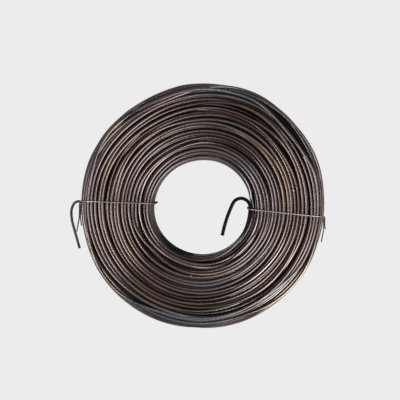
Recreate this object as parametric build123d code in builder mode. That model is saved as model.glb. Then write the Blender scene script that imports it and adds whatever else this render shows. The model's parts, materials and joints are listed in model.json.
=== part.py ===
"""Coil of annealed tie wire, wound flat with an open bore and bound by two thin wire ties.

Millimetres. The origin is the middle of the bore, +Z is up along its axis, and the coil lies on one end.
The wire is one piece: its wound turns are one turned solid with ridged ends, and its inner and outer
ends are bent into hooks that catch the two ties.
"""

import os
from math import atan2, cos, degrees, radians, sin, sqrt

from build123d import *

# The winding
wire_diameter = 1.6
bore_radius = 26.0
outer_radius = 65.0
coil_height = 26.0
bore_edge_round = 4.0
rim_edge_round = 5.0
turn_pitch = 3.9
turn_groove_depth = 1.5
wire_sides = 8

# The wire's inner end: it leaves the top turns, rides along the bore and hooks back down
inner_join_inset = 2.3
inner_end_drop = 1.9
inner_lead_angle = 75.0
inner_hook_azimuth = 0.5
inner_hook_radius = 4.8
inner_hook_angle = 158.0
inner_leg_length = 16.5

# The wire's outer end: it leaves the rim, passes under the left tie and hooks outward
outer_join_depth = 1.0
outer_end_height = 5.0
outer_lead_angle = 25.0
outer_hook_azimuth = 178.4
outer_hook_radius = 2.4
outer_hook_angle = 194.0
outer_leg_length = 23.8

# The ties
tie_diameter = 0.7
tie_clearance = 0.05
tie_bed_side_gap = 0.1
tie_hook_gap = 0.3
tie_bend_radius = 1.0
tie_bore_corner_radius = 2.0
tie_rim_corner_radius = 5.0
tie_step_rise = 1.3
tie_sides = 6

# The twisted ends of the ties
twist_length = 5.5
twist_width = 1.3
twist_thickness = 0.65
twist_height = 1.0
tail_length = 8.5

# Each tie: direction of its run across the end, how far that run passes from the axis,
# and the two angles by which its cut tails splay from the twist
left_tie_azimuth = 179.3
left_tie_offset = -1.3
left_tail_angles = (-13.0, 9.0)
right_tie_azimuth = -6.5
right_tie_offset = 1.4
right_tail_angles = (-17.0, -4.0)

cut_overrun = 1.0

# Places that follow from the sizes above
half_height = coil_height / 2
wire_radius = wire_diameter / 2
tie_radius = tie_diameter / 2
rim_height = coil_height - 2 * rim_edge_round
end_turns = round((outer_radius - bore_radius) / turn_pitch)
end_pitch = (outer_radius - bore_radius) / end_turns
rim_turns = round(rim_height / turn_pitch)
rim_pitch = rim_height / rim_turns
inner_end_radius = bore_radius - wire_radius
inner_end_height = half_height - inner_end_drop
outer_end_radius = outer_radius + wire_radius + tie_clearance
tie_top_height = half_height + tie_clearance + tie_radius
tie_bow_radius = inner_end_radius - wire_radius - tie_clearance - tie_radius
tie_bed_radius = bore_radius + tie_radius
tie_step_height = inner_end_height - wire_radius
plain_rim_radius = outer_radius + tie_clearance + tie_radius
hooked_rim_radius = outer_end_radius + wire_radius + tie_hook_gap + tie_radius


def polar(radius, azimuth, height=0):
    """Point at a radius and azimuth about the coil's axis."""
    return Vector(radius * cos(radians(azimuth)), radius * sin(radians(azimuth)), height)


def edge_drop(inset, edge_round):
    """How far an end has fallen away at this distance inside a rounded edge."""
    reach = max(edge_round - inset, 0)
    return edge_round - sqrt(edge_round**2 - reach**2)


def end_height(radius):
    """Height of the end's crown at a radius, above the coil's middle."""
    bore_drop = edge_drop(radius - bore_radius, bore_edge_round)
    rim_drop = edge_drop(outer_radius - radius, rim_edge_round)
    return half_height - bore_drop - rim_drop


def end_outline():
    """Outline of one ridged end, from the bore's wall to the rim, with a ridge for each turn shown."""
    points = [(bore_radius, half_height - bore_edge_round)]
    for turn in range(end_turns):
        crest = bore_radius + (turn + 1 / 2) * end_pitch
        groove = bore_radius + (turn + 1) * end_pitch
        points.append((crest, end_height(crest)))
        points.append((groove, end_height(groove) - turn_groove_depth))
    points[-1] = (outer_radius, rim_height / 2)
    return points


def rim_outline():
    """Outline of the ridged rim from one end's last turn to the other's, with a groove between turns."""
    points = []
    for turn in range(rim_turns):
        crest = rim_height / 2 - turn * rim_pitch
        points.append((outer_radius, crest))
        points.append((outer_radius - turn_groove_depth, crest - rim_pitch / 2))
    return points[1:]


def lead_arc(join_radius, end_radius, lead_angle):
    """Radius and turn of the arc that leaves a turn at one radius and, this far round, reaches another."""
    across = end_radius * cos(radians(lead_angle))
    centre = (join_radius**2 - end_radius**2) / (2 * (join_radius - across))
    turn = degrees(atan2(end_radius * sin(radians(lead_angle)), across - centre))
    return join_radius - centre, turn


def wire_end(height, join_radius, end_radius, azimuth, lead_angle, way, hook_radius, hook_angle, leg):
    """Path of one wire end: along the winding, round its hook and down its leg.

    way is 1 where the wire runs anticlockwise towards its end, and -1 where it runs clockwise.
    """
    start = polar(join_radius, azimuth - way * lead_angle, height)
    heading = polar(way, azimuth - way * lead_angle + 90)
    lead_radius, lead_turn = lead_arc(join_radius, end_radius, lead_angle)
    with BuildLine() as path:
        lead = JernArc(start, heading, lead_radius, way * lead_turn)
        hook = JernArc(lead @ 1, lead % 1, hook_radius, hook_angle)
        PolarLine(hook @ 1, leg, direction=hook % 1)
    return path.wire()


def tie_plane(azimuth, offset):
    """Upright plane of a tie: its X runs outward across the end and its Y is up."""
    outward = polar(1, azimuth)
    sideways = polar(offset, azimuth + 90)
    return Plane(origin=sideways, x_dir=outward, z_dir=outward.cross(Vector(0, 0, 1)))


def tie_loop(plane, rim_radius):
    """Path of a tie round the coil's section, stepping over the wire's inner end at the top of the bore."""
    corners = {
        (rim_radius, tie_top_height): tie_rim_corner_radius,
        (tie_bow_radius, tie_top_height): tie_bend_radius,
        (tie_bow_radius, tie_step_height): tie_bend_radius,
        (tie_bed_radius, tie_step_height - tie_step_rise): tie_bend_radius,
        (tie_bed_radius, -tie_top_height): tie_bore_corner_radius,
        (rim_radius, -tie_top_height): tie_rim_corner_radius,
    }
    with BuildLine(plane) as path:
        FilletPolyline(*corners, radius=list(corners.values()), close=True)
    return path.wire()


tie_planes = {
    "left_tie": tie_plane(left_tie_azimuth, left_tie_offset),
    "right_tie": tie_plane(right_tie_azimuth, right_tie_offset),
}
tie_rims = {"left_tie": hooked_rim_radius, "right_tie": plain_rim_radius}
tail_angles = {"left_tie": left_tail_angles, "right_tie": right_tail_angles}

# The wire: its wound turns, the beds that the ties press into the bore, and its two hooked ends
with BuildPart() as wire_coil:
    with BuildSketch(Plane.XZ):
        with BuildLine():
            top_end = end_outline()
            bottom_end = [(radius, -height) for radius, height in reversed(top_end)]
            Polyline(*top_end, *rim_outline(), *bottom_end, close=True)
        make_face()
    revolve(axis=Axis.Z)

    bed_depth = tie_diameter + tie_clearance
    for plane in tie_planes.values():
        with BuildSketch(Plane(plane.origin, x_dir=plane.x_dir)):
            with Locations((bore_radius - cut_overrun, 0)):
                Rectangle(
                    bed_depth + cut_overrun,
                    tie_diameter + 2 * tie_bed_side_gap,
                    align=(Align.MIN, Align.CENTER),
                )
        extrude(amount=half_height + cut_overrun, both=True, mode=Mode.SUBTRACT)

    wire_ends = [
        wire_end(
            inner_end_height,
            bore_radius + inner_join_inset,
            inner_end_radius,
            inner_hook_azimuth,
            inner_lead_angle,
            1,
            inner_hook_radius,
            inner_hook_angle,
            inner_leg_length,
        ),
        wire_end(
            outer_end_height,
            outer_radius - outer_join_depth,
            outer_end_radius,
            outer_hook_azimuth,
            outer_lead_angle,
            -1,
            outer_hook_radius,
            outer_hook_angle,
            outer_leg_length,
        ),
    ]
    for path in wire_ends:
        with BuildSketch(Plane(path @ 0, z_dir=path % 0)):
            RegularPolygon(wire_radius, wire_sides)
        sweep(path=path)
wire_coil.part.label = "wire_coil"

# The ties: a loop round the coil's section, with its ends twisted together against the rim.
# Each twist is the plain oval bar that its two strands fill.
ties = {}
for name, plane in tie_planes.items():
    with BuildPart() as tie:
        loop = tie_loop(plane, tie_rims[name])
        with BuildSketch(Plane(loop @ 0, z_dir=loop % 0)):
            RegularPolygon(tie_radius, tie_sides)
        sweep(path=loop)

        twist_start = plane.from_local_coords(Vector(tie_rims[name] + tie_radius, twist_height))
        with BuildSketch(Plane(twist_start, x_dir=(1, 0, 0), z_dir=(0, -1, 0))):
            SlotOverall(twist_width, twist_thickness)
        extrude(amount=twist_length)

        tail_start = twist_start - Vector(0, twist_length - tie_radius, 0)
        for splay in tail_angles[name]:
            with BuildSketch(Plane(tail_start, z_dir=polar(1, splay - 90))):
                RegularPolygon(tie_radius, tie_sides)
            extrude(amount=tail_length)
    tie.part.label = name
    ties[name] = tie.part

os.makedirs("parts", exist_ok=True)
export_step(wire_coil.part, "parts/wire_coil.step")
for name, tie_part in ties.items():
    export_step(tie_part, f"parts/{name}.step")
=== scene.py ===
"""Looks of the coil of annealed tie wire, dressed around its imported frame.

Metres, +Z up, with the origin in the middle of the bore. The winding's skin is real wire. One long wire
starts in the inner hook, winds clockwise over the top and down the rim, and ends in the outer hook. A second
goes on underneath and up the bore. Both lie on a lower layer of turns that shows in their gaps, and a ridged
ring stands for the turns further in. Two thin ties are drawn round the section and twisted together at the
rim.
"""

import json
import math

import bmesh
import bpy
import numpy as np
from mathutils import Matrix, Vector


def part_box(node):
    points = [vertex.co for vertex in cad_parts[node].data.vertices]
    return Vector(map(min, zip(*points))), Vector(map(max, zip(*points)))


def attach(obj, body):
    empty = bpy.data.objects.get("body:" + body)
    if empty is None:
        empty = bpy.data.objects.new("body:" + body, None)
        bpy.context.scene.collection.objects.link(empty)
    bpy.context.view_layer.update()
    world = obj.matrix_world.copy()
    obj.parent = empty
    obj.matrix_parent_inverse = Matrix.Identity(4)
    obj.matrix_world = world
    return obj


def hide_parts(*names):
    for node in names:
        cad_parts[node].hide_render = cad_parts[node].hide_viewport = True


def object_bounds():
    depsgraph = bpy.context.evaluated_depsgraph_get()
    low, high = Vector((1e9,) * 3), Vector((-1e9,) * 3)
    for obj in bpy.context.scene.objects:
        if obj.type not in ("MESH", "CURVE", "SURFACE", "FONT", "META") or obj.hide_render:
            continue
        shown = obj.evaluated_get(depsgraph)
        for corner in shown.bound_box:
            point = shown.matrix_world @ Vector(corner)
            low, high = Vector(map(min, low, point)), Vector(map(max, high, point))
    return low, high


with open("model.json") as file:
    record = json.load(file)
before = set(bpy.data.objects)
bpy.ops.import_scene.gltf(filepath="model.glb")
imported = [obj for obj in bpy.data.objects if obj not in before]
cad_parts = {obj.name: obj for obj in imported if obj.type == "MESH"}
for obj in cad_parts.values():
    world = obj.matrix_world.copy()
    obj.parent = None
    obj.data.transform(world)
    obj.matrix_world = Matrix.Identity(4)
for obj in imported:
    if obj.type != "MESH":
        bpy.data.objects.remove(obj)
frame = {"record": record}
cad_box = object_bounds()

MM = 0.001
FULL_TURN = 2 * math.pi

# The winding, from the frame
_, coil_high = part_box("wire_coil")
HALF_HEIGHT = coil_high.z
OUTER_RADIUS = coil_high.y
BORE_RADIUS = frame["record"]["mounts"][0]["dims"]["r_mm"] * MM
BORE_ROUND = 4.0 * MM
RIM_ROUND = 5.0 * MM

# How finely the section's outline is kept: points round a corner and in all, and each way for a normal
CORNER_STEPS = 31
OUTLINE_POINTS = 4001
NORMAL_REACH = 8

# The wire and how its turns lie
WIRE = 1.6 * MM
WIRE_RADIUS = WIRE / 2
TURN_PITCH = 1.97 * MM
LAYER_STEP = 1.27 * MM
TURN_SAMPLES = 240
SKIN_SIDES = 10
LOWER_SIDES = 6
TURN_PUSHES = 80
TURN_SMOOTHING = 4
TOUCHING = 0.95 * WIRE
LIFT_ROUNDS = 3
LIFT_REACH = 3
HIGHEST_RISE = WIRE
INNER_TURNS_INSET = 3.1 * MM
INNER_TURNS_GROOVE = 0.6 * MM
INNER_TURNS_STEPS = 120

# How far turns stray sideways, how deep the lower ones lie and how their rank wanders, by the length of the
# stray in degrees
SKIN_STRAY = {40: 0.22 * MM, 110: 0.42 * MM, 300: 0.35 * MM}
LOWER_STRAY = {40: 0.15 * MM, 150: 0.40 * MM}
LOWER_SETTLE = 0.15 * MM
LOWER_DEPTH = {60: 0.12 * MM, 200: 0.22 * MM}
RANK_STRAY = {700: 0.1}

# Places where a turn slips over its neighbours: how many, round which two sides and how far from them in
# degrees, on which turns, how far each way in degrees, how far sideways in turns, and how many degrees clear
# of the ties
SLIPS = 34
SLIP_SIDES = [90, 270]
SLIP_SPREAD = 55
SLIP_TURNS = (2, 22)
SLIP_REACH = (35, 80)
SLIP_SHIFT = (0.35, 0.95)
SLIP_BERTH = 10

# Strands that cross their neighbours near the rim: azimuth, radius, reach in degrees, and shift in turns
RIM_SLIPS = [
    (138, 61.0 * MM, 30, 1.2),
    (112, 63.0 * MM, 40, -1.0),
    (66, 63.5 * MM, 42, 1.0),
    (40, 60.5 * MM, 28, -1.1),
    (222, 61.5 * MM, 32, 1.1),
    (252, 63.0 * MM, 45, -0.9),
    (300, 61.5 * MM, 36, -1.2),
    (318, 63.5 * MM, 28, 0.9),
]

# The hooked ends: where each leaves the winding, its bends as radius and turn, its leg and how far that
# sways, and its thickness in wires
INNER_HOOK_AZIMUTH = -0.9
INNER_END_RADIUS = BORE_RADIUS - WIRE_RADIUS
INNER_END_HEIGHT = HALF_HEIGHT - 1.9 * MM
INNER_LEAD_SWEEP = 130.0
INNER_BENDS = [(4.8 * MM, 156)]
INNER_LEG = 17.8 * MM
INNER_LEG_SWAY = 13.5
INNER_THICKNESS = 1.15
OUTER_HOOK_AZIMUTH = 178.55
OUTER_END_RADIUS = OUTER_RADIUS - 0.5 * MM
OUTER_END_HEIGHT = 5.0 * MM
OUTER_LEAD_SWEEP = 25.0
OUTER_BENDS = [(1.7 * MM, 90), (3.3 * MM, 60), (8.4 * MM, 30), (22.0 * MM, 17)]
OUTER_LEG = 13.5 * MM
OUTER_LEG_SWAY = 0.0
OUTER_THICKNESS = 0.86

# How finely a hook bends, in degrees, and its leg's points, and the degrees of a turn over which the
# thickness changes and the second wire's hidden ends sink
BEND_STEP = 6
LEG_STEPS = 16
THICKNESS_SWEEP = 40
HIDDEN_END_SWEEP = 15.0

# How the hooked ends darken: the inner one almost to black, a dull outer one and its darker leg. Each takes
# a share of the light and fades over some degrees of a turn, and two of the fades start further on
INNER_BLACK_START, INNER_BLACK_FADE, INNER_BLACK_SHARE = 25, 35, 0.97
DULL_FADE, DULL_SHARE = 20, 0.30
DARK_LEG_START, DARK_LEG_FADE, DARK_LEG_SHARE = 25, 20, 0.45

# The ties: direction of the run across the top, its distance from the axis, how far it shifts sideways down
# the rim, and the splay and length of each tail
TIE = 0.7 * MM
TIE_RADIUS = TIE / 2
TIE_SIDES = 8
TIES = {
    "left_tie": (178.0, -0.8 * MM, 1.75 * MM, [(-10.5, 9.7 * MM), (7.5, 6.5 * MM)]),
    "right_tie": (-5.95, 1.3 * MM, 0.0, [(-10.5, 8.3 * MM), (38.0, 1.3 * MM)]),
}

# The twists and the tails: sizes, where each begins as a share of its length, and its points
TWIST_LENGTH = 5.5 * MM
TWIST_TURNS = 2.25
TWIST_HEIGHT = 1.0 * MM
TWIST_START = 0.1
TWIST_STEPS = 46
TAIL_START = 0.15
TAIL_STEPS = 7

# How the ties are drawn: their slack over the top, the gap to the outer hook, the height below which a tie
# shifts and how fast it does, and how finely their lines are worked out
TIE_SLACK = 0.25 * MM
HOOK_CLEARANCE = 0.25 * MM
SHIFT_HEIGHT = 9.0 * MM
SHIFT_FADE = 4.0 * MM
TAUT_SPOKES = 24
SPLINE_ORDER = 3
SPLINE_STEPS = 6

# How a tie bows out over the bore's upper edge: its radius, how far outside the bore it begins and how low
# it may end, the place of each point outside that radius with its drop and lean, and the drop and lean of
# each point that is back on the bore's wall
TIE_BOW_RADIUS = 24.0 * MM
BOW_REACH = 3.0 * MM
BOW_LOWEST = 5.0 * MM
BOW = [
    (2.2 * MM, 0.0, 0.0),
    (0.1 * MM, 0.1 * MM, 0.25 * MM),
    (-0.2 * MM, 1.6 * MM, 0.80 * MM),
    (0.0, 3.2 * MM, 1.00 * MM),
]
BOW_FOOT = [(5.6 * MM, 0.60 * MM), (7.5 * MM, 0.0)]

# The picture
PICTURE_SIDE = 400
COIL_PIXEL = (202.7, 206.3)
COIL_PIXELS_ACROSS = 241.0
CAMERA_DISTANCE = 0.55
CAMERA_TILT = 1.5
CAMERA_AZIMUTH = 45.0
BACKDROP = 0.838
SURROUND = 0.55
FLOOR_REACH = 6.0

# Soft lamps: their distance, and the azimuth and elevation in degrees, width, height and power of each
LAMP_DISTANCE = 0.8
LAMPS = {
    "left_softbox": (201, 50, 0.36, 0.30, 22.0),
    "right_softbox": (321, 50, 0.46, 0.86, 40.5),
    "top_softbox": (285, 82, 0.40, 0.50, 1.4),
}

# The random draws, and how many spreads a blur reaches
SEED = 7
BLUR_REACH = 3
rng = np.random.default_rng(SEED)


def smooth_step(share):
    """Ease from 0 to 1."""
    share = np.clip(share, 0, 1)
    return share * share * (3 - 2 * share)


def smooth_along(values, spread):
    """Values along a wire, blurred over this many samples."""
    reach = int(BLUR_REACH * spread) + 1
    weights = np.exp(-0.5 * (np.arange(-reach, reach + 1) / spread) ** 2)
    padded = np.pad(values, reach, mode="edge")
    return np.convolve(padded, weights / weights.sum(), mode="valid")


def highest_along(values, reach):
    """Highest value within this many samples each way along a wire."""
    padded = np.pad(values, reach, mode="edge")
    return np.max(np.lib.stride_tricks.sliding_window_view(padded, 2 * reach + 1), axis=1)


def drift(count, sizes):
    """Slow random wandering along a wire: for each length in degrees, how far it usually strays."""
    total = np.zeros(count)
    for length, size in sizes.items():
        noise = smooth_along(rng.standard_normal(count), length / 360 * TURN_SAMPLES / 2)
        total += size * noise / noise.std()
    return total


class SectionOutline:
    """Rounded outline of the winding's section, this far inside its surface.

    It starts halfway up the bore, goes up and over the top, down the rim and back underneath.
    """

    def __init__(self, inset):
        bore = BORE_RADIUS + inset
        rim = OUTER_RADIUS - inset
        top = HALF_HEIGHT - inset
        bore_round = BORE_ROUND - inset
        rim_round = RIM_ROUND - inset
        corners = [
            (bore + bore_round, top - bore_round, bore_round),
            (rim - rim_round, top - rim_round, rim_round),
            (rim - rim_round, rim_round - top, rim_round),
            (bore + bore_round, bore_round - top, bore_round),
        ]
        points = [(bore, 0.0)]
        for number, (radius, height, rounding) in enumerate(corners):
            for turn in np.radians(np.linspace(180, 90, CORNER_STEPS) - 90 * number):
                points.append((radius + rounding * math.cos(turn), height + rounding * math.sin(turn)))
        points.append((bore, 0.0))
        points = np.array(points)
        steps = np.hypot(*np.diff(points, axis=0).T)
        along = np.concatenate([[0], np.cumsum(steps)])
        self.length = along[-1]
        self.along = np.linspace(0, self.length, OUTLINE_POINTS)
        self.points = np.stack([np.interp(self.along, along, points[:, i]) for i in (0, 1)], axis=1)
        once_round = self.points[:-1]
        ahead = np.roll(once_round, -NORMAL_REACH, axis=0) - np.roll(once_round, NORMAL_REACH, axis=0)
        ahead /= np.linalg.norm(ahead, axis=1, keepdims=True)
        normals = np.stack([-ahead[:, 1], ahead[:, 0]], axis=1)
        self.normals = np.concatenate([normals, normals[:1]])

    def at(self, along):
        """Points (radius, height) and outward normals at distances along the outline."""
        along = np.mod(along, self.length)
        found = []
        for table in (self.points, self.normals):
            columns = [np.interp(along, self.along, table[:, i]) for i in (0, 1)]
            found.append(np.stack(columns, axis=1))
        return found

    def raised(self, along, rise):
        """Points (radius, height) this far outside the outline."""
        points, normals = self.at(along)
        return points + rise[:, None] * normals

    def distance_to(self, radius, height):
        """Distance along the outline of the place nearest to a radius and height."""
        gap = np.hypot(self.points[:, 0] - radius, self.points[:, 1] - height)
        return self.along[np.argmin(gap)]


def lay_turns(outline, turns, stray):
    """Distance gone round the outline at each sample of a layer, its turns pushed a wire apart."""
    count = turns * TURN_SAMPLES + 1
    along = np.linspace(0, outline.length, count) + drift(count, stray)
    for _ in range(TURN_PUSHES):
        overlap = np.clip(WIRE - (along[TURN_SAMPLES:] - along[:-TURN_SAMPLES]), 0, None)
        along[TURN_SAMPLES:] += overlap / 2
        along[:-TURN_SAMPLES] -= overlap / 2
    return smooth_along(along, TURN_SMOOTHING)


def slip_turns(outline, start, turns):
    """Where turns of the top slip over a neighbour: sideways shift and rank, higher lying over lower."""
    slips = []
    for _ in range(SLIPS):
        side = rng.choice(SLIP_SIDES) + rng.uniform(-SLIP_SPREAD, SLIP_SPREAD)
        turn = int(rng.integers(*SLIP_TURNS))
        from_ties = 90 - abs(side % 180 - 90)
        reach = min(rng.uniform(*SLIP_REACH), from_ties - SLIP_BERTH)
        slips.append((turn + side / 360, reach, rng.choice([-1, 1]) * rng.uniform(*SLIP_SHIFT)))
    for azimuth, radius, reach, sideways in RIM_SLIPS:
        side = np.mod(INNER_HOOK_AZIMUTH - azimuth, 360)
        turns_gone = (outline.distance_to(radius, HALF_HEIGHT) - start) / outline.length * turns
        slips.append((round(turns_gone - side / 360) + side / 360, reach, sideways))

    count = turns * TURN_SAMPLES + 1
    shift = np.zeros(count)
    rank = drift(count, RANK_STRAY)
    sample = np.arange(count)
    for turns_gone, reach, sideways in slips:
        bump = smooth_step(1 - np.abs(sample / TURN_SAMPLES - turns_gone) * 360 / reach)
        shift += sideways * TURN_PITCH * bump
        rank += bump
    return shift, rank


def rest_on(outline, along, lower):
    """How far outside the outline each point of a layer comes to rest on the layer below.

    lower holds the lower layer's points (radius, height) by turn and sample.
    """
    points, normals = outline.at(along)
    sample = np.arange(len(along)) % TURN_SAMPLES
    apart = points[None] - lower[:, sample, :]
    ahead = np.einsum("tns,ns->tn", apart, normals)
    reach = ahead**2 - np.einsum("tns,tns->tn", apart, apart) + WIRE**2
    touching = np.where(reach > 0, np.sqrt(np.maximum(reach, 0)) - ahead, -LAYER_STEP)
    return np.maximum(touching.max(axis=0), -LAYER_STEP)


def lift_over(along, rise, rank):
    """Raise each turn that overlaps a neighbour of lower rank until it lies on that neighbour."""
    rise = rise.copy()
    for turns in (1, 2) * LIFT_ROUNDS:
        step = turns * TURN_SAMPLES
        apart = along[step:] - along[:-step]
        climb = np.sqrt(np.clip(TOUCHING**2 - apart**2, 0, None))
        inner, outer = rise[:-step].copy(), rise[step:].copy()
        outer_over = (rank[step:] >= rank[:-step]) & (climb > 0)
        inner_over = (rank[step:] < rank[:-step]) & (climb > 0)
        rise[step:] = np.where(outer_over, np.maximum(outer, inner + climb), outer)
        rise[:-step] = np.where(inner_over, np.maximum(rise[:-step], outer + climb), rise[:-step])
    return smooth_along(highest_along(rise, LIFT_REACH), TURN_SMOOTHING)


# How the rim and the bore bulge and draw in: azimuth, size and spread of each lump, and how fast lumps fade
# across the winding
RIM_LUMPS = [
    (62, 1.2 * MM, 28),
    (152, 0.5 * MM, 18),
    (120, -2.2 * MM, 22),
    (225, -0.4 * MM, 25),
    (310, -1.8 * MM, 28),
]
BORE_LUMPS = [
    (100, -0.8 * MM, 32),
    (200, 1.0 * MM, 28),
    (275, 0.65 * MM, 30),
]
LUMP_FADE = 1.5


def lumps_out(lumps, azimuth):
    """How far lumps stand out at azimuths in degrees."""
    out = np.zeros_like(azimuth)
    for place, size, spread in lumps:
        turn = np.mod(azimuth - place + 180, 360) - 180
        out += size * np.exp(-0.5 * (turn / spread) ** 2)
    return out


def in_space(points, azimuth):
    """Points (radius, height) at azimuths in degrees, as x, y, z, with the lumps of the rim and the bore."""
    out_share = np.clip((points[:, 0] - BORE_RADIUS) / (OUTER_RADIUS - BORE_RADIUS), 0, None)
    in_share = np.clip(1 - out_share, 0, None)
    radius = points[:, 0] + lumps_out(RIM_LUMPS, azimuth) * out_share**LUMP_FADE
    radius += lumps_out(BORE_LUMPS, azimuth) * in_share**LUMP_FADE
    turn = np.radians(azimuth)
    return np.stack([radius * np.cos(turn), radius * np.sin(turn), points[:, 1]], axis=1)


def hook_path(start, heading, bends, leg, sway):
    """A hooked wire end from where it leaves the winding: level bends to the left, and a leg that sways."""
    ways, lengths = [], []
    for radius, turn in bends:
        count = math.ceil(turn / BEND_STEP)
        ways.append(heading + turn * (np.arange(count) + 0.5) / count)
        lengths.append(np.full(count, radius * math.radians(turn) / count))
        heading += turn
    ways.append(heading + sway * np.linspace(0, 1, LEG_STEPS))
    lengths.append(np.full(LEG_STEPS, leg / LEG_STEPS))
    turns = np.radians(np.concatenate(ways))
    level = np.zeros(len(turns))
    steps = np.concatenate(lengths)[:, None] * np.stack([np.cos(turns), np.sin(turns), level], axis=1)
    return np.concatenate([[start], start + np.cumsum(steps, axis=0)])


def link(obj):
    """Put an object in the scene."""
    bpy.context.scene.collection.objects.link(obj)
    return obj


def cut_ends(mesh):
    """Close the open ends of a wire's tube with flat, sharp-edged cuts."""
    shape = bmesh.new()
    shape.from_mesh(mesh)
    rings = [edge for edge in shape.edges if edge.is_boundary]
    for face in bmesh.ops.holes_fill(shape, edges=rings)["faces"]:
        face.smooth = False
    for edge in rings:
        edge.smooth = False
    shape.to_mesh(mesh)
    shape.free()


def drawn_wire(name, path, kind, diameter, sides, thickness=None):
    """Mesh of a round wire along a path, its points joined straight (POLY) or followed smoothly (NURBS).

    thickness, if given, scales the diameter at each point.
    """
    curve = bpy.data.curves.new(name, "CURVE")
    curve.dimensions = "3D"
    curve.twist_mode = "MINIMUM"
    curve.bevel_depth = diameter / 2
    curve.bevel_resolution = sides // 2 - 2
    spline = curve.splines.new(kind)
    spline.points.add(len(path) - 1)
    spline.points.foreach_set("co", np.c_[path, np.ones(len(path))].ravel())
    if thickness is not None:
        spline.points.foreach_set("radius", thickness)
    if kind == "NURBS":
        spline.order_u = SPLINE_ORDER
        spline.use_endpoint_u = True
        spline.resolution_u = SPLINE_STEPS
    drawn = bpy.data.objects.new(name, curve)
    mesh = bpy.data.meshes.new_from_object(drawn)
    bpy.data.objects.remove(drawn)
    bpy.data.curves.remove(curve)
    mesh.name = name
    mesh.shade_smooth()
    cut_ends(mesh)
    return mesh


def keep_on_mesh(mesh, name, values):
    """Keep three values of each corner of a mesh on it, for its material."""
    kept = mesh.attributes.new(name, "FLOAT_VECTOR", "POINT")
    kept.data.foreach_set("vector", values.ravel())


def corner_places(mesh):
    """Places of a mesh's corners, as x, y, z."""
    places = np.empty(len(mesh.vertices) * 3)
    mesh.vertices.foreach_get("co", places)
    return places.reshape(-1, 3)


def tube_middles(mesh, sides):
    """Middle of each ring of corners of a wire's tube."""
    return corner_places(mesh).reshape(-1, sides, 3).mean(axis=1)


def wire_places(mesh, sides):
    """Distance along the wire and place around it, at each corner of its tube."""
    steps = np.linalg.norm(np.diff(tube_middles(mesh, sides), axis=0), axis=1)
    run = np.concatenate([[0], np.cumsum(steps)])
    around = np.arange(sides) * FULL_TURN / sides
    spokes = WIRE_RADIUS * np.stack([np.cos(around), np.sin(around)], axis=1)
    return np.c_[np.repeat(run, sides), np.tile(spokes, (len(run), 1))]


def add_piece(mesh, material, node):
    """Put a piece in the scene in place of a node of the frame."""
    mesh.materials.append(material)
    piece = link(bpy.data.objects.new(mesh.name, mesh))
    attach(piece, "root")
    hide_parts(node)


# Tones that show in patches on the top, painted light and shade among them: azimuth and radius of each, its
# spread round in degrees and across, and its strength
BRONZE_PATCHES = [
    (122, 47.0 * MM, 16, 3.0 * MM, 0.35),
    (136, 53.0 * MM, 14, 2.5 * MM, 0.28),
    (202, 48.0 * MM, 18, 5.0 * MM, 0.30),
    (336, 54.0 * MM, 12, 1.6 * MM, 0.55),
    (28, 47.0 * MM, 20, 5.0 * MM, 0.35),
    (290, 61.5 * MM, 22, 0.8 * MM, 0.45),
]
BLUE_PATCHES = [
    (85, 62.6 * MM, 12, 1.3 * MM, 0.9),
    (262, 60.2 * MM, 24, 1.6 * MM, 0.8),
    (305, 58.2 * MM, 9, 1.0 * MM, 0.6),
    (40, 32.0 * MM, 30, 2.5 * MM, 0.3),
    (285, 40.0 * MM, 25, 4.0 * MM, 0.25),
]
# Pale patches: painted highlights on strands at the rim, the bore's edge and the lamp-lit sectors, and paler
# strands
PALE_AND_HIGHLIGHT_PATCHES = [
    (130, 61.8 * MM, 16, 1.5 * MM, 0.40),
    (120, 63.0 * MM, 14, 0.9 * MM, 0.55),
    (308, 46.0 * MM, 20, 13.0 * MM, 0.16),
    (335, 29.0 * MM, 25, 1.2 * MM, 0.40),
    (24, 63.6 * MM, 9, 1.0 * MM, 0.45),
    (198, 63.2 * MM, 11, 0.5 * MM, 0.40),
    (217, 64.6 * MM, 8, 1.2 * MM, 0.50),
    (252, 63.0 * MM, 14, 0.8 * MM, 0.35),
    (268, 64.6 * MM, 16, 0.6 * MM, 0.35),
    (305, 58.6 * MM, 8, 0.8 * MM, 0.30),
    (314, 61.0 * MM, 16, 0.7 * MM, 0.50),
    (322, 63.2 * MM, 10, 0.8 * MM, 0.45),
    (84, 64.6 * MM, 16, 0.8 * MM, 0.30),
]
# Dark patches: painted shade between the rim's strands, on the bore's wall and in the lamp-lit sectors, and
# darker strands
DARK_AND_SHADE_PATCHES = [
    (240, 60.6 * MM, 18, 1.2 * MM, 0.85),
    (264, 62.6 * MM, 14, 0.7 * MM, 0.80),
    (338, 61.8 * MM, 8, 0.5 * MM, 0.60),
    (48, 63.2 * MM, 16, 0.9 * MM, 0.75),
    (0, 62.0 * MM, 8, 0.7 * MM, 0.70),
    (198, 64.9 * MM, 9, 0.5 * MM, 0.80),
    (258, 62.2 * MM, 12, 0.9 * MM, 0.70),
    (296, 64.3 * MM, 10, 0.5 * MM, 0.70),
    # Painted shade on the bore's wall at the lower left
    (236, 26.2 * MM, 26, 1.3 * MM, 1.70),
    (142, 48.0 * MM, 22, 13.0 * MM, 0.30),
    (262, 63.7 * MM, 22, 0.5 * MM, 0.75),
    (95, 63.8 * MM, 25, 0.5 * MM, 0.70),
    (28, 46.0 * MM, 24, 13.0 * MM, 0.50),
    (215, 46.0 * MM, 26, 13.0 * MM, 0.45),
    (150, 65.0 * MM, 18, 0.8 * MM, 0.40),
    (80, 59.0 * MM, 18, 0.9 * MM, 0.50),
]

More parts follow.
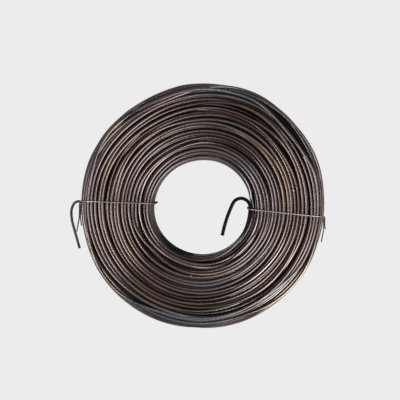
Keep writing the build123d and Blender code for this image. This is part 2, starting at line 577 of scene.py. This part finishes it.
# How tones wander along a wire: the middle of each that has one, the least light, and the usual stray by its
# length in degrees
STREAK_SHARE = 0.75
STREAK_STRAY = {300: 0.5}
BRONZE_STRAY = {50: 0.09, 240: 0.14}
BLUE_STRAY = {60: 0.09, 300: 0.12}
USUAL_LIGHT = 0.50
LEAST_LIGHT = 0.32
LIGHT_STRAY = {35: 0.06, 160: 0.16}

# How turns darken on the bore's wall: by how much, how far outside it they are still as dark, and the fade
BORE_SHADE = 0.25
BORE_SHADE_INSET = 0.6 * MM
BORE_SHADE_FADE = 2.4 * MM

# Painted light and shade of the lower turns in the gaps: its middle, its swing twice round, and the azimuth
# where it is least, which the left lamp lights
LOWER_PAINTED_LIGHT = 0.62
LOWER_PAINTED_SWING = 0.52
LOWER_SHADE_AZIMUTH = 208

# Painted light of a tie: its least, as painted shade in the bore and down the rim, painted light added on
# the top and more added towards the rim. It fades this far below the top, and this near the bore's edge
TIE_LEAST_LIGHT = 0.02
TIE_TOP_LIGHT = 0.34
TIE_RIM_LIGHT = 0.45
TIE_TOP_DEPTH = 6.0 * MM
TIE_TOP_FADE = 4.0 * MM
TIE_BORE_REACH = 0.5 * MM
TIE_BORE_FADE = 2.0 * MM
TIE_STRAY = {8: 0.04, 40: 0.06}


def patch_share(azimuth, radius, patches):
    """How strongly patches show at each point of a wire."""
    total = np.zeros(len(radius))
    for place, out, spread, width, strength in patches:
        turn = np.mod(azimuth - place + 180, 360) - 180
        total += strength * np.exp(-0.5 * (turn / spread) ** 2 - 0.5 * ((radius - out) / width) ** 2)
    return np.clip(total, 0, 1)


def wire_tones_and_shading(path):
    """Tone of a wire at each point of its path: bronze share, blue share, lightness from black up, with
    painted light and shade.
    """
    count = len(path)
    radius = np.hypot(path[:, 0], path[:, 1])
    azimuth = np.degrees(np.arctan2(path[:, 1], path[:, 0]))
    streak = np.clip(STREAK_SHARE + drift(count, STREAK_STRAY), 0, None)
    bronze = drift(count, BRONZE_STRAY) + streak * patch_share(azimuth, radius, BRONZE_PATCHES)
    blue = drift(count, BLUE_STRAY) + patch_share(azimuth, radius, BLUE_PATCHES)
    light = np.maximum(USUAL_LIGHT + drift(count, LIGHT_STRAY), LEAST_LIGHT)
    # Painted highlights from the pale patches, and painted shade from the dark ones and on the bore's wall
    light += patch_share(azimuth, radius, PALE_AND_HIGHLIGHT_PATCHES)
    light *= 1 - patch_share(azimuth, radius, DARK_AND_SHADE_PATCHES)
    clear_of_bore = smooth_step((radius - BORE_RADIUS - BORE_SHADE_INSET) / BORE_SHADE_FADE)
    light *= 1 - BORE_SHADE * (1 - clear_of_bore)
    return np.clip(np.stack([bronze, blue, light], axis=1), 0, 1)


def tie_shading(mesh, sides):
    """Tone of a tie at each corner of its tube: lightness, painted shade in the bore and down the rim,
    painted light on top.
    """
    middles = tube_middles(mesh, sides)
    radius = np.hypot(middles[:, 0], middles[:, 1])
    over_top = smooth_step((middles[:, 2] - HALF_HEIGHT + TIE_TOP_DEPTH) / TIE_TOP_FADE)
    clear_of_bore = smooth_step((radius - BORE_RADIUS + TIE_BORE_REACH) / TIE_BORE_FADE)
    out_share = np.clip((radius - BORE_RADIUS) / (OUTER_RADIUS - BORE_RADIUS), 0, 1)
    light = TIE_LEAST_LIGHT + (TIE_TOP_LIGHT + TIE_RIM_LIGHT * out_share**2) * over_top * clear_of_bore
    light += drift(len(middles), TIE_STRAY)
    tones_and_shading = np.clip(np.stack([light, light, light], axis=1), 0, 1)
    return np.repeat(tones_and_shading, sides, axis=0)


def shader_node(tree, kind, inputs=None, **settings):
    """A new node with these settings, and input values by socket name."""
    made = tree.nodes.new(kind)
    for key, value in settings.items():
        setattr(made, key, value)
    for key, value in (inputs or {}).items():
        made.inputs[key].default_value = value
    return made


def new_material(name, shader_kind):
    """A new material with one shader: the material, its tree and the shader."""
    material = bpy.data.materials.new(name)
    material.use_nodes = True
    tree = material.node_tree
    tree.nodes.clear()
    output = shader_node(tree, "ShaderNodeOutputMaterial")
    shader = shader_node(tree, shader_kind)
    tree.links.new(shader.outputs[0], output.inputs["Surface"])
    return material, tree, shader


def colour_ramp(tree, stops):
    """A colour ramp with these stops: place and colour."""
    ramp = shader_node(tree, "ShaderNodeValToRGB")
    elements = ramp.color_ramp.elements
    while len(elements) < len(stops):
        elements.new(1.0)
    for element, (place, colour) in zip(elements, stops):
        element.position = place
        element.color = (*colour, 1)
    return ramp


def tint_over(tree, under, share, colour):
    """Mix a colour over the one in a socket, by the share in another."""
    mix = shader_node(tree, "ShaderNodeMix", data_type="RGBA")
    mix.inputs["B"].default_value = (*colour, 1)
    tree.links.new(share, mix.inputs["Factor"])
    tree.links.new(under, mix.inputs["A"])
    return mix.outputs["Result"]


# Colours of the oxide skin, darkest first, of the tints that annealing leaves on it, and of the ties. The
# blackest also paints deep shade, and the ties' two colours are their painted shade and painted light
BLACKEST = (0.002, 0.002, 0.002)
DARK_OXIDE = (0.0036, 0.0012, 0.0008)
BROWN_OXIDE = (0.0048, 0.0018, 0.0012)
GREY_OXIDE = (0.0260, 0.0205, 0.0188)
BRIGHT_OXIDE = (0.052, 0.0445, 0.0415)
BRONZE = (0.042, 0.027, 0.016)
BLUE_GREY = (0.028, 0.030, 0.035)
DUST = (0.22, 0.21, 0.195)
TIE_SHADED = (0.020, 0.017, 0.015)
TIE_LIT = (0.125, 0.112, 0.098)
OXIDE_STOPS = [
    (0.0, BLACKEST),
    (0.15, DARK_OXIDE),
    (0.40, BROWN_OXIDE),
    (0.66, GREY_OXIDE),
    (1.0, BRIGHT_OXIDE),
]

# Fine noise on the wires, by its fineness along and round the wire or on each axis
NOISE_DETAIL = 2.0
NOISE_RANGE = (0.25, 0.75)
MOTTLE_FINENESS = (35, 250, 250)
FLECK_FINENESS = (420, 420, 420)
DRAWN_LINE_FINENESS = (250, 6000, 6000)
TIE_MOTTLE_FINENESS = (250, 900, 900)
TIE_LINE_FINENESS = (300, 9000, 9000)

# The oxide skin: how far it mottles and from which light up, which flecks are dusty and how much, which
# light is blackened (painted deep shade, and the black inner end), matt or pale, how metallic the pale
# skin and the tints are, how rough it is, and its lines
MOTTLE = 0.15
MOTTLED_LIGHT = (0.0, 0.2)
DUSTY_FLECKS = (0.775, 0.80)
DUST_SHARE = 0.8
BLACKENED_LIGHT = (0.0, 0.35)
MATT_LIGHT = (0.0, 0.12)
PALE_LIGHT = (0.40, 0.66)
PALE_METAL = 0.90
TINT_METAL = 0.7
SKIN_ROUGHNESS = (0.22, 0.14)
MATT_ROUGHNESS = 0.75
ROUGH_FLECKS = (0.35, 0.70)
FLECK_ROUGHNESS = 0.02
DRAWN_LINE_STRENGTH = 0.03
DRAWN_LINE_DEPTH = 0.05 * MM
SKIN_IOR = 1.34
SKIN_REFLECTION = (1.0, 0.875, 0.84, 1)

# The ties' bare metal
TIE_MOTTLE = 0.12
TIE_ROUGHNESS = (0.36, 0.50)
TIE_LINE_STRENGTH = 0.05
TIE_LINE_DEPTH = 0.03 * MM


def blend_values(tree, operation, first, second):
    """Join two values by a sum, a product or the like; each is a socket or a number."""
    join = shader_node(tree, "ShaderNodeMath", operation=operation)
    for socket, value in zip(join.inputs, (first, second)):
        if isinstance(value, (int, float)):
            socket.default_value = value
        else:
            tree.links.new(value, socket)
    return join.outputs["Value"]


def value_range(tree, value, span, target):
    """A value mapped from one range to another and held inside it."""
    ranged = shader_node(tree, "ShaderNodeMapRange")
    ranged.inputs["From Min"].default_value, ranged.inputs["From Max"].default_value = span
    ranged.inputs["To Min"].default_value, ranged.inputs["To Max"].default_value = target
    tree.links.new(value, ranged.inputs["Value"])
    return ranged.outputs["Result"]


def noise_on(tree, source, fineness):
    """Noise on a vector socket, this fine along each axis: its value from 0 to 1."""
    spread = shader_node(tree, "ShaderNodeMapping", {"Scale": fineness})
    noise = shader_node(tree, "ShaderNodeTexNoise", {"Scale": 1.0, "Detail": NOISE_DETAIL})
    tree.links.new(source, spread.inputs["Vector"])
    tree.links.new(spread.outputs["Vector"], noise.inputs["Vector"])
    return noise.outputs["Fac"]


def fine_bump(tree, shader, height, strength, distance):
    """Roughen a shader's surface by a height."""
    bump = shader_node(tree, "ShaderNodeBump", {"Strength": strength, "Distance": distance})
    tree.links.new(height, bump.inputs["Height"])
    tree.links.new(bump.outputs["Normal"], shader.inputs["Normal"])


def kept_on_wire(tree):
    """Sockets of what a wire's mesh keeps for its material: its three tones, painted light and shade among
    them, and the place on the wire.
    """
    tone = shader_node(tree, "ShaderNodeAttribute", attribute_name="wire_tone_and_shading")
    place = shader_node(tree, "ShaderNodeAttribute", attribute_name="wire_place")
    split = shader_node(tree, "ShaderNodeSeparateXYZ")
    tree.links.new(tone.outputs["Vector"], split.inputs["Vector"])
    return [split.outputs[axis] for axis in "XYZ"], place.outputs["Vector"]


def annealed_wire():
    """Black annealed wire: glossy dark oxide skin, mottled along each turn, tinted bronze and blue-grey,
    with painted light and shade from its tones.
    """
    material, tree, shader = new_material("annealed_wire", "ShaderNodeBsdfPrincipled")
    (bronze, blue, evenly_light), place = kept_on_wire(tree)
    where = shader_node(tree, "ShaderNodeTexCoord")

    mottle = noise_on(tree, place, MOTTLE_FINENESS)
    flecks = noise_on(tree, where.outputs["Object"], FLECK_FINENESS)
    drawn_lines = noise_on(tree, place, DRAWN_LINE_FINENESS)
    mottled = value_range(tree, mottle, NOISE_RANGE, (-MOTTLE, MOTTLE))
    light = blend_values(tree, "ADD", evenly_light, mottled)
    light = blend_values(tree, "MULTIPLY", light, value_range(tree, evenly_light, MOTTLED_LIGHT, (0, 1)))

    ramp = colour_ramp(tree, OXIDE_STOPS)
    tree.links.new(light, ramp.inputs["Fac"])
    colour = tint_over(tree, ramp.outputs["Color"], bronze, BRONZE)
    colour = tint_over(tree, colour, blue, BLUE_GREY)
    dusty = value_range(tree, flecks, DUSTY_FLECKS, (0, DUST_SHARE))
    colour = tint_over(tree, colour, dusty, DUST)
    tree.links.new(colour, shader.inputs["Base Color"])

    tinted = blend_values(tree, "MULTIPLY", blend_values(tree, "ADD", bronze, blue), TINT_METAL)
    # The lowest lightness turns into black metal: painted deep shade, and the black inner end
    blackened = value_range(tree, light, BLACKENED_LIGHT, (1, 0))
    pale = value_range(tree, light, PALE_LIGHT, (0, PALE_METAL))
    metal = blend_values(tree, "MAXIMUM", blend_values(tree, "MAXIMUM", tinted, blackened), pale)
    metal = blend_values(tree, "SUBTRACT", metal, dusty)
    tree.links.new(metal, shader.inputs["Metallic"])
    gloss = value_range(tree, light, (0, 1), SKIN_ROUGHNESS)
    unevenness = value_range(tree, flecks, ROUGH_FLECKS, (-FLECK_ROUGHNESS, FLECK_ROUGHNESS))
    gloss = blend_values(tree, "ADD", gloss, unevenness)
    matt = blend_values(tree, "MAXIMUM", dusty, value_range(tree, light, MATT_LIGHT, (MATT_ROUGHNESS, 0)))
    tree.links.new(blend_values(tree, "MAXIMUM", gloss, matt), shader.inputs["Roughness"])
    fine_bump(tree, shader, drawn_lines, DRAWN_LINE_STRENGTH, DRAWN_LINE_DEPTH)
    shader.inputs["IOR"].default_value = SKIN_IOR
    shader.inputs["Specular Tint"].default_value = SKIN_REFLECTION
    return material


def tie_wire():
    """Thin drawn wire, dull grey-brown, with painted shade in the bore and down the rim and painted light on
    the top.
    """
    material, tree, shader = new_material("tie_wire", "ShaderNodeBsdfPrincipled")
    tones_and_shading, place = kept_on_wire(tree)
    mottle = noise_on(tree, place, TIE_MOTTLE_FINENESS)
    drawn_lines = noise_on(tree, place, TIE_LINE_FINENESS)
    mottled = value_range(tree, mottle, NOISE_RANGE, (-TIE_MOTTLE, TIE_MOTTLE))
    light = blend_values(tree, "ADD", tones_and_shading[0], mottled)

    ramp = colour_ramp(tree, [(0.0, TIE_SHADED), (1.0, TIE_LIT)])
    tree.links.new(light, ramp.inputs["Fac"])
    tree.links.new(ramp.outputs["Color"], shader.inputs["Base Color"])
    tree.links.new(value_range(tree, mottle, NOISE_RANGE, TIE_ROUGHNESS), shader.inputs["Roughness"])
    fine_bump(tree, shader, drawn_lines, TIE_LINE_STRENGTH, TIE_LINE_DEPTH)
    shader.inputs["Metallic"].default_value = 1.0
    return material


def pale_floor():
    """Plain pale floor, evenly lit."""
    material, _, glow = new_material("pale_floor", "ShaderNodeEmission")
    glow.inputs["Color"].default_value = (BACKDROP, BACKDROP, BACKDROP, 1)
    return material


# The lower turns, wound back the other way
under_skin = SectionOutline(WIRE_RADIUS + LAYER_STEP)
lower_turns = round(under_skin.length / TURN_PITCH)
lower_along = -lay_turns(under_skin, lower_turns, LOWER_STRAY)
lower_depth = np.clip(LOWER_SETTLE + drift(len(lower_along), LOWER_DEPTH), 0, None)
lower_points = under_skin.raised(lower_along, -lower_depth)
lower_grid = lower_points[:-1].reshape(lower_turns, TURN_SAMPLES, 2)
lower_azimuth = INNER_HOOK_AZIMUTH - np.arange(len(lower_along)) * 360 / TURN_SAMPLES

# The skin's turns, starting in the slot that the inner end leaves
skin = SectionOutline(WIRE_RADIUS)
skin_turns = round(skin.length / TURN_PITCH)
skin_start = skin.distance_to(BORE_RADIUS + WIRE, INNER_END_HEIGHT)
skin_along = skin_start + lay_turns(skin, skin_turns, SKIN_STRAY)
slip, rank = slip_turns(skin, skin_start, skin_turns)
skin_along += slip
skin_rise = lift_over(skin_along, rest_on(skin, skin_along, lower_grid), rank)
skin_rise = np.minimum(skin_rise, HIGHEST_RISE)
skin_points = skin.raised(skin_along, skin_rise)
skin_azimuth = INNER_HOOK_AZIMUTH - np.arange(len(skin_along)) * 360 / TURN_SAMPLES

# Where the long wire leaves the rim for the outer hook
hook_share = np.mod(INNER_HOOK_AZIMUTH - OUTER_HOOK_AZIMUTH, 360) / 360
rim_place = skin.distance_to(OUTER_RADIUS, OUTER_END_HEIGHT)
whole_turns = round((rim_place - skin_start) / skin.length * skin_turns - hook_share)
cut = round((whole_turns + hook_share) * TURN_SAMPLES)

long_points = skin_points[: cut + 1].copy()
long_azimuth = skin_azimuth[: cut + 1]
from_inner = long_azimuth[0] - long_azimuth
from_outer = long_azimuth - long_azimuth[-1]
inner_end = np.array([INNER_END_RADIUS, INNER_END_HEIGHT])
outer_end = np.array([OUTER_END_RADIUS, OUTER_END_HEIGHT])
long_points += (1 - smooth_step(from_inner / INNER_LEAD_SWEEP))[:, None] * (inner_end - long_points)
long_points += (1 - smooth_step(from_outer / OUTER_LEAD_SWEEP))[:, None] * (outer_end - long_points)
wound_path = in_space(long_points, long_azimuth)

inner_hook = hook_path(wound_path[0], INNER_HOOK_AZIMUTH + 90, INNER_BENDS, INNER_LEG, INNER_LEG_SWAY)
outer_hook = hook_path(wound_path[-1], OUTER_HOOK_AZIMUTH - 90, OUTER_BENDS, OUTER_LEG, OUTER_LEG_SWAY)
long_path = np.concatenate([inner_hook[:0:-1], wound_path, outer_hook[1:]])

under_rise = skin_rise[cut + 1 :].copy()
under_sweep = np.arange(len(under_rise)) * 360 / TURN_SAMPLES
sink = np.minimum(under_sweep, under_sweep[::-1]) / HIDDEN_END_SWEEP
under_rise -= LAYER_STEP * (1 - smooth_step(sink))
under_points = skin.raised(skin_along[cut + 1 :], under_rise)
under_points[:, 1] = np.maximum(under_points[:, 1], WIRE_RADIUS - HALF_HEIGHT)
under_path = in_space(under_points, skin_azimuth[cut + 1 :])
lower_path = in_space(lower_points, lower_azimuth)


def spun_inner_turns():
    """The turns further in, which only close the gaps: ridges in a closed section, spun round the axis."""
    outline = SectionOutline(INNER_TURNS_INSET)
    ridges = round(outline.length / TURN_PITCH)
    along = np.arange(2 * ridges) * outline.length / (2 * ridges)
    section = outline.raised(along, -INNER_TURNS_GROOVE * (np.arange(2 * ridges) % 2))
    shape = bmesh.new()
    corners = [shape.verts.new((radius, 0, height)) for radius, height in section]
    edges = [shape.edges.new(ends) for ends in zip(corners, corners[1:] + corners[:1])]
    bmesh.ops.spin(shape, geom=corners + edges, axis=(0, 0, 1), cent=(0, 0, 0), angle=FULL_TURN,
                   steps=INNER_TURNS_STEPS, use_merge=True)
    bmesh.ops.recalc_face_normals(shape, faces=shape.faces)
    mesh = bpy.data.meshes.new("inner_turns")
    shape.to_mesh(mesh)
    shape.free()
    mesh.shade_smooth()
    x, y, height = corner_places(mesh).T
    lumpy = in_space(np.stack([np.hypot(x, y), height], axis=1), np.degrees(np.arctan2(y, x)))
    mesh.vertices.foreach_set("co", lumpy.ravel())
    return mesh


# The wires' tones with their painted light and shade, and the long wire's thickness, by how far it has gone
# from the inner hook and has left to go to the outer one, in degrees of a turn
steel = annealed_wire()
gone = (np.arange(len(long_path)) - len(inner_hook)) / TURN_SAMPLES * 360
left = gone[-1] - len(outer_hook) / TURN_SAMPLES * 360 - gone
inner_black = 1 - smooth_step((gone - INNER_BLACK_START) / INNER_BLACK_FADE)
dull = 1 - smooth_step(left / DULL_FADE)
dark_leg = smooth_step((-left - DARK_LEG_START) / DARK_LEG_FADE)
long_tones_and_shading = wire_tones_and_shading(long_path)
long_tones_and_shading *= (1 - INNER_BLACK_SHARE * inner_black - DULL_SHARE * dull - DARK_LEG_SHARE * dark_leg)[:, None]
lower_tones_and_shading = wire_tones_and_shading(lower_path)
# Painted shade on the lower turns, darkest on the two sides that the left lamp lights, and painted light a
# quarter turn on
lower_shade_swing = np.cos(2 * np.radians(lower_azimuth - LOWER_SHADE_AZIMUTH))
lower_tones_and_shading *= (LOWER_PAINTED_LIGHT - LOWER_PAINTED_SWING * lower_shade_swing)[:, None]
under_tones_and_shading = wire_tones_and_shading(under_path)
thickness = 1 + (INNER_THICKNESS - 1) * (1 - smooth_step(gone / THICKNESS_SWEEP))
thickness += (OUTER_THICKNESS - 1) * (1 - smooth_step(left / THICKNESS_SWEEP))
for name, path, tones_and_shading, sides, swell in (
    ("long_turns", long_path, long_tones_and_shading, SKIN_SIDES, thickness),
    ("under_turns", under_path, under_tones_and_shading, SKIN_SIDES, None),
    ("lower_turns", lower_path, lower_tones_and_shading, LOWER_SIDES, None),
):
    turns_mesh = drawn_wire(name, path, "POLY", WIRE, sides, swell)
    keep_on_mesh(turns_mesh, "wire_place", wire_places(turns_mesh, sides))
    keep_on_mesh(turns_mesh, "wire_tone_and_shading", np.repeat(tones_and_shading, sides, axis=0))
    add_piece(turns_mesh, steel, "wire_coil")
# The turns further in keep no tones, so they take the blackest colour: painted shade deep in the gaps
add_piece(spun_inner_turns(), steel, "wire_coil")


def wires_met(origin, outward, sideways):
    """Where the wires cross a tie's upright plane: distance out and height of each."""
    met = []
    for path in (wound_path, under_path):
        beside = (path - origin) @ sideways
        out = (path - origin) @ outward
        crossed = np.nonzero((beside[:-1] * beside[1:] <= 0) & (out[:-1] > 0))[0]
        share = beside[crossed] / (beside[crossed] - beside[crossed + 1])
        for i, s in zip(crossed, share):
            met.append((out[i] + s * (out[i + 1] - out[i]), path[i, 2] + s * (path[i + 1, 2] - path[i, 2])))
    return np.array(met)


def taut_loop(points, gap):
    """Line of a thread drawn tight round points at this distance, anticlockwise from the innermost place."""
    spokes = np.linspace(0, FULL_TURN, TAUT_SPOKES, endpoint=False)
    ring = gap * np.stack([np.cos(spokes), np.sin(spokes)], axis=1)
    spread = (points[:, None, :] + ring[None]).reshape(-1, 2)
    order = spread[np.lexsort((spread[:, 1], spread[:, 0]))]
    halves = []
    for line in (order, order[::-1]):
        chain = []
        for point in line:
            while len(chain) > 1:
                a, b = chain[-1] - chain[-2], point - chain[-2]
                if a[0] * b[1] - a[1] * b[0] > 0:
                    break
                chain.pop()
            chain.append(point)
        halves.append(chain[:-1])
    return np.array(halves[0] + halves[1])


def tie_strand(origin, outward, sideways, shift):
    """Loop of a tie from the rim over the top to the bore and back underneath, and how far out the rim is.

    A tie that shifts is the one that goes round the outer end where it leaves the rim.
    """
    met = wires_met(origin, outward, sideways)
    if shift:
        met = np.concatenate([met, [outer_end + (HOOK_CLEARANCE, 0)]])
    met[:, 1] += TIE_SLACK * smooth_step((met[:, 1] - HALF_HEIGHT) / RIM_ROUND + 1)
    loop = taut_loop(met, WIRE_RADIUS + TIE_RADIUS)

    rim = loop[:, 0].max()
    start = np.argmin(np.hypot(loop[:, 0] - rim, loop[:, 1] - 2 * TWIST_HEIGHT))
    loop = np.roll(loop, -start, axis=0)

    # It bows out over the bore's upper edge and comes back to the wall below
    bore = loop[:, 0].min()
    in_bow = (loop[:, 0] < BORE_RADIUS + BOW_REACH) & (loop[:, 1] > BOW_LOWEST)
    first = np.nonzero(in_bow)[0][0]
    last = np.nonzero(in_bow)[0][-1]
    top = loop[first, 1]
    bow = [(TIE_BOW_RADIUS + out, top - drop, lean) for out, drop, lean in BOW]
    bow += [(bore, top - drop, lean) for drop, lean in BOW_FOOT]
    upright = np.c_[loop, np.zeros(len(loop))]
    out, height, lean = np.concatenate([upright[: first + 1], bow, upright[last + 1 :]]).T[:, :, None]
    strand = origin + out * outward + height * np.array([0, 0, 1]) + lean * np.array([0, 1, 0])
    out_share = np.clip((out - BORE_RADIUS) / (OUTER_RADIUS - BORE_RADIUS), 0, 1)
    strand += shift * out_share * smooth_step((SHIFT_HEIGHT - height) / SHIFT_FADE) * sideways
    return strand, rim


def twisted_ends(foot, tails):
    """Ends of a tie from its foot on the rim: two strands twisted together, and the tails that splay."""
    ends = []
    for number, (splay, length) in enumerate(tails):
        share = np.linspace(TWIST_START, 1, TWIST_STEPS)
        spin = FULL_TURN * TWIST_TURNS * share + math.pi * (0.5 - number)
        x, z = np.cos(spin) * TIE_RADIUS, np.sin(spin) * TIE_RADIUS
        twist = np.stack([x, -share * TWIST_LENGTH, z], axis=1)
        tail_turn = math.radians(splay - 90)
        tail_way = np.array([math.cos(tail_turn), math.sin(tail_turn), 0])
        reach = np.linspace(TAIL_START, 1, TAIL_STEPS)[:, None] * length
        lean = np.array([0, 0, twist[-1, 2]])
        tail = np.array([0, -TWIST_LENGTH, 0]) + lean + reach * tail_way
        ends.append(foot + np.concatenate([twist, tail]))
    return ends


def tie_path(direction, offset, shift, tails):
    """Path of a tie: one tail, its twist, the loop round the section, and the twist and tail again."""
    turn = math.radians(direction)
    outward = np.array([math.cos(turn), math.sin(turn), 0])
    sideways = np.array([-math.sin(turn), math.cos(turn), 0])
    origin = offset * sideways
    strand, rim = tie_strand(origin, outward, sideways, shift)
    foot = origin + (rim + TIE_RADIUS) * outward + shift * sideways + np.array([0, 0, TWIST_HEIGHT])
    first_end, last_end = twisted_ends(foot, tails)
    return np.concatenate([first_end[::-1], strand, last_end])


thin_steel = tie_wire()
for name, (direction, offset, shift, tails) in TIES.items():
    path = tie_path(direction, offset, shift, tails)
    tie_mesh = drawn_wire(name + "_wire", path, "NURBS", TIE, TIE_SIDES)
    keep_on_mesh(tie_mesh, "wire_place", wire_places(tie_mesh, TIE_SIDES))
    keep_on_mesh(tie_mesh, "wire_tone_and_shading", tie_shading(tie_mesh, TIE_SIDES))
    add_piece(tie_mesh, thin_steel, name)


def lay_floor():
    """A wide floor under the coil."""
    mesh = bpy.data.meshes.new("floor")
    shape = bmesh.new()
    bmesh.ops.create_grid(shape, x_segments=1, y_segments=1, size=FLOOR_REACH)
    bmesh.ops.translate(shape, verts=shape.verts, vec=(0, 0, cad_box[0].z))
    shape.to_mesh(mesh)
    shape.free()
    mesh.materials.append(pale_floor())
    floor = link(bpy.data.objects.new("floor", mesh))


def softbox(name, azimuth, elevation, width, height, power):
    """A soft lamp aimed at the coil, from this azimuth and elevation in degrees."""
    lamp = bpy.data.lights.new(name, "AREA")
    lamp.shape = "RECTANGLE"
    lamp.size = width
    lamp.size_y = height
    lamp.energy = power
    turn, up = math.radians(azimuth), math.radians(elevation)
    way = Vector((math.cos(up) * math.cos(turn), math.cos(up) * math.sin(turn), math.sin(up)))
    place = way * LAMP_DISTANCE
    held = link(bpy.data.objects.new(name, lamp))
    held.location = place
    held.rotation_euler = (-place).to_track_quat("-Z", "Y").to_euler()


def light_studio():
    """An even pale surround and the soft lamps: small at the left, large at the right, and one above."""
    world = bpy.data.worlds.new("studio")
    bpy.context.scene.world = world
    world.use_nodes = True
    world.node_tree.nodes["Background"].inputs["Color"].default_value = (SURROUND, SURROUND, SURROUND, 1)
    for name, settings in LAMPS.items():
        softbox(name, *settings)


def set_camera():
    """Camera nearly straight above, framed as the picture is."""
    lens = bpy.data.cameras.new("camera")
    camera = link(bpy.data.objects.new("camera", lens))
    bpy.context.scene.camera = camera
    across = 2 * OUTER_RADIUS * PICTURE_SIDE / COIL_PIXELS_ACROSS
    lens.lens = lens.sensor_width * CAMERA_DISTANCE / across
    tilt, toward = math.radians(CAMERA_TILT), math.radians(CAMERA_AZIMUTH)
    back = Vector((math.sin(tilt) * math.cos(toward), math.sin(tilt) * math.sin(toward), math.cos(tilt)))
    right = Vector((0, 1, 0)).cross(back).normalized()
    pixel = across / PICTURE_SIDE
    middle = PICTURE_SIDE / 2
    aim = Vector(((middle - COIL_PIXEL[0]) * pixel, (COIL_PIXEL[1] - middle) * pixel, 0))
    camera.location = aim + back * CAMERA_DISTANCE
    camera.rotation_euler = Matrix((right, back.cross(right), back)).transposed().to_euler()


bpy.context.scene.view_settings.view_transform = "Standard"
lay_floor()
light_studio()
set_camera()
